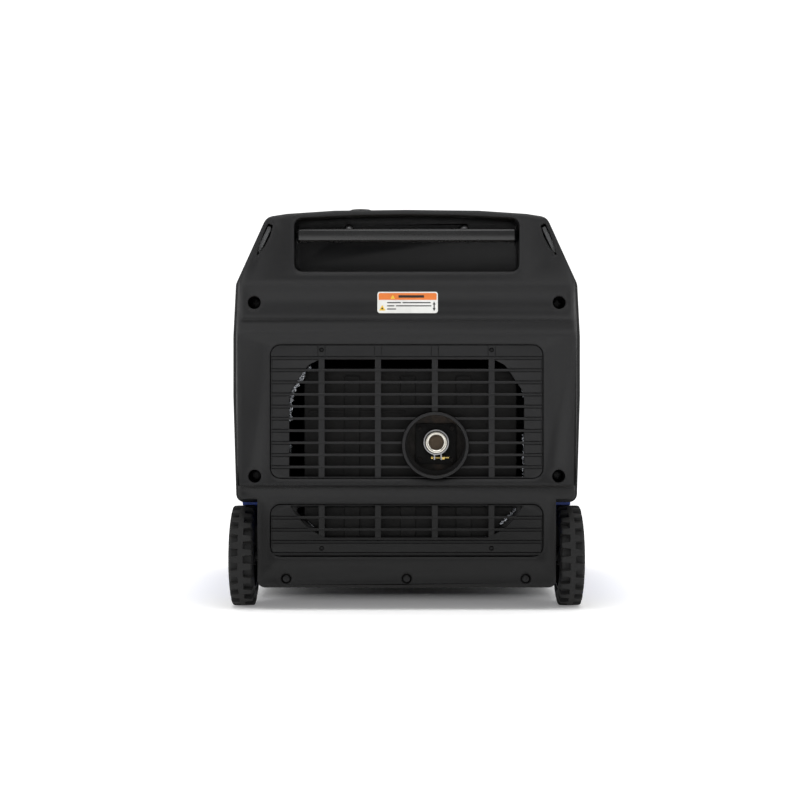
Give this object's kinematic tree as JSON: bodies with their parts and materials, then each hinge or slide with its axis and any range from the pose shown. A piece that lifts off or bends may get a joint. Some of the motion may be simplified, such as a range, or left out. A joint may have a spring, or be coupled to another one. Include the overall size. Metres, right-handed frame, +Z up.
{
  "type": "portable generator",
  "caption": "Closed-case portable inverter generator on wheels, with exhaust grilles, hand recesses, a pull-out handle and a control panel.",
  "frame": {"origin": "on the ground under the middle of the case", "axes": "+Z up; -Y is the exhaust end and +Y the control panel end; +X is right as seen from the exhaust end"},
  "size_m": [0.448, 0.62, 0.5173],
  "materials": {
    "black_shell": "fine moulded texture, satin",
    "dark_trim": "smooth satin",
    "blue_shell": "semi-gloss",
    "grey_plastic": "satin",
    "red_plastic": "satin",
    "rubber": "matt",
    "tyre": "matt, lugged tread",
    "cast_aluminium": "as cast",
    "machined_steel": "machined",
    "exhaust_steel": "heat darkened",
    "stainless": "brushed",
    "painted_steel": "powder coated",
    "copper_winding": "varnished winding",
    "display": "clear, glossy",
    "rope": "braided"
  },
  "bodies": {
    "housing": {"rear_cover": "black_shell", "upper_rear_grille": "black_shell", "lower_rear_grille": "black_shell", "exhaust_collar": "black_shell", "front_cover": "black_shell", "top_cover": "black_shell", "left_side_cover": "blue_shell", "right_side_cover": "blue_shell", "base_tub": "blue_shell", "rear_grip_bar": "dark_trim", "control_panel": "dark_trim", "left_lift_rail": "grey_plastic", "right_lift_rail": "grey_plastic", "left_foot": "rubber", "right_foot": "rubber", "wheel_axle": "machined_steel", "engine_block": "cast_aluminium", "cylinder_head": "cast_aluminium", "spark_plug": "dark_trim", "carburettor": "cast_aluminium", "air_cleaner": "dark_trim", "oil_filler_cap": "red_plastic", "muffler": "exhaust_steel", "tailpipe": "stainless", "spark_arrestor": "exhaust_steel", "pipe_clamp": "machined_steel", "alternator_stator": "copper_winding", "recoil_housing": "painted_steel", "inverter_module": "cast_aluminium", "battery": "dark_trim", "fuel_tank": "dark_trim", "left_handle_guide": "painted_steel", "right_handle_guide": "painted_steel", "display_lens": "display", "twistlock_outlet": "dark_trim", "ground_terminal": "machined_steel"},
    "left_wheel": {"left_wheel_rim": "dark_trim", "left_tyre": "tyre"},
    "right_wheel": {"right_wheel_rim": "dark_trim", "right_tyre": "tyre"},
    "pull_handle": {"left_handle_tube": "machined_steel", "right_handle_tube": "machined_steel", "pull_grip": "dark_trim"},
    "release": {"release_button": "red_plastic"},
    "cap_seat": {"cap_gasket": "rubber"},
    "filler_cap": {"fuel_cap": "dark_trim"},
    "starter": {"starter_grip": "dark_trim", "starter_rope": "rope"},
    "reel": {"recoil_reel": "dark_trim"},
    "rotating_group": {"crankshaft": "machined_steel", "alternator_rotor": "painted_steel", "cooling_fan": "dark_trim"},
    "dial": {"engine_dial": "red_plastic"},
    "eco_rocker": {"eco_switch": "dark_trim"},
    "start": {"start_button": "grey_plastic"},
    "breaker": {"breaker_button": "dark_trim"},
    "left_lid": {"left_outlet_cover": "dark_trim"},
    "right_lid": {"right_outlet_cover": "dark_trim"},
    "door": {"maintenance_door": "blue_shell"},
    "latch": {"door_latch": "dark_trim"}
  },
  "joints": [
    {"name": "left_wheel_spin", "type": "hinge", "parent": "housing", "child": "left_wheel", "pos_m": [-0.2065, -0.235, 0.0635], "axis": [1, 0, 0], "continuous": true},
    {"name": "right_wheel_spin", "type": "hinge", "parent": "housing", "child": "right_wheel", "pos_m": [0.2065, -0.235, 0.0635], "axis": [1, 0, 0], "continuous": true},
    {"name": "pull_handle_slide", "type": "slide", "parent": "housing", "child": "pull_handle", "axis": [0, 1, 0], "range_m": [0, 0.36]},
    {"name": "release_press", "type": "slide", "parent": "pull_handle", "child": "release", "axis": [0, -1, 0], "range_m": [0, 0.003], "stiffness_N_per_m": 1000},
    {"name": "cap_lift", "type": "slide", "parent": "housing", "child": "cap_seat", "axis": [0, 0, 1], "range_m": [0, 0.06]},
    {"name": "cap_turn", "type": "hinge", "parent": "cap_seat", "child": "filler_cap", "pos_m": [-0.061, -0.11, 0.51], "axis": [0, 0, 1], "range_deg": [0, 120]},
    {"name": "starter_pull", "type": "slide", "parent": "housing", "child": "starter", "axis": [-1, 0, 0], "range_m": [0, 0.18], "stiffness_N_per_m": 40},
    {"name": "reel_spin", "type": "hinge", "parent": "housing", "child": "reel", "pos_m": [0, 0.126, 0.15], "axis": [0, -1, 0], "range_deg": [0, 215]},
    {"name": "crank_spin", "type": "hinge", "parent": "housing", "child": "rotating_group", "pos_m": [0, 0, 0.15], "axis": [0, 1, 0], "continuous": true},
    {"name": "dial_turn", "type": "hinge", "parent": "housing", "child": "dial", "pos_m": [-0.11, 0.29, 0.34], "axis": [0, 1, 0], "range_deg": [0, 90]},
    {"name": "eco_rock", "type": "hinge", "parent": "housing", "child": "eco_rocker", "pos_m": [0.052, 0.29, 0.352], "axis": [1, 0, 0], "range_deg": [0, 16]},
    {"name": "start_press", "type": "slide", "parent": "housing", "child": "start", "axis": [0, -1, 0], "range_m": [0, 0.003], "stiffness_N_per_m": 1000},
    {"name": "breaker_press", "type": "slide", "parent": "housing", "child": "breaker", "axis": [0, -1, 0], "range_m": [0, 0.002], "stiffness_N_per_m": 1500},
    {"name": "left_lid_flip", "type": "hinge", "parent": "housing", "child": "left_lid", "pos_m": [-0.095, 0.296, 0.28], "axis": [1, 0, 0], "range_deg": [0, 110]},
    {"name": "right_lid_flip", "type": "hinge", "parent": "housing", "child": "right_lid", "pos_m": [-0.01, 0.296, 0.28], "axis": [1, 0, 0], "range_deg": [0, 110]},
    {"name": "door_swing", "type": "hinge", "parent": "housing", "child": "door", "pos_m": [0.217, -0.13, 0.25], "axis": [0, 0, -1], "range_deg": [0, 110]},
    {"name": "latch_turn", "type": "hinge", "parent": "door", "child": "latch", "pos_m": [0.217, 0.048, 0.25], "axis": [1, 0, 0], "range_deg": [0, 90]}
  ],
  "couplings": [
    {"joint": "reel_spin", "follows": "starter_pull", "rad_per_m": 20.202}
  ]
}
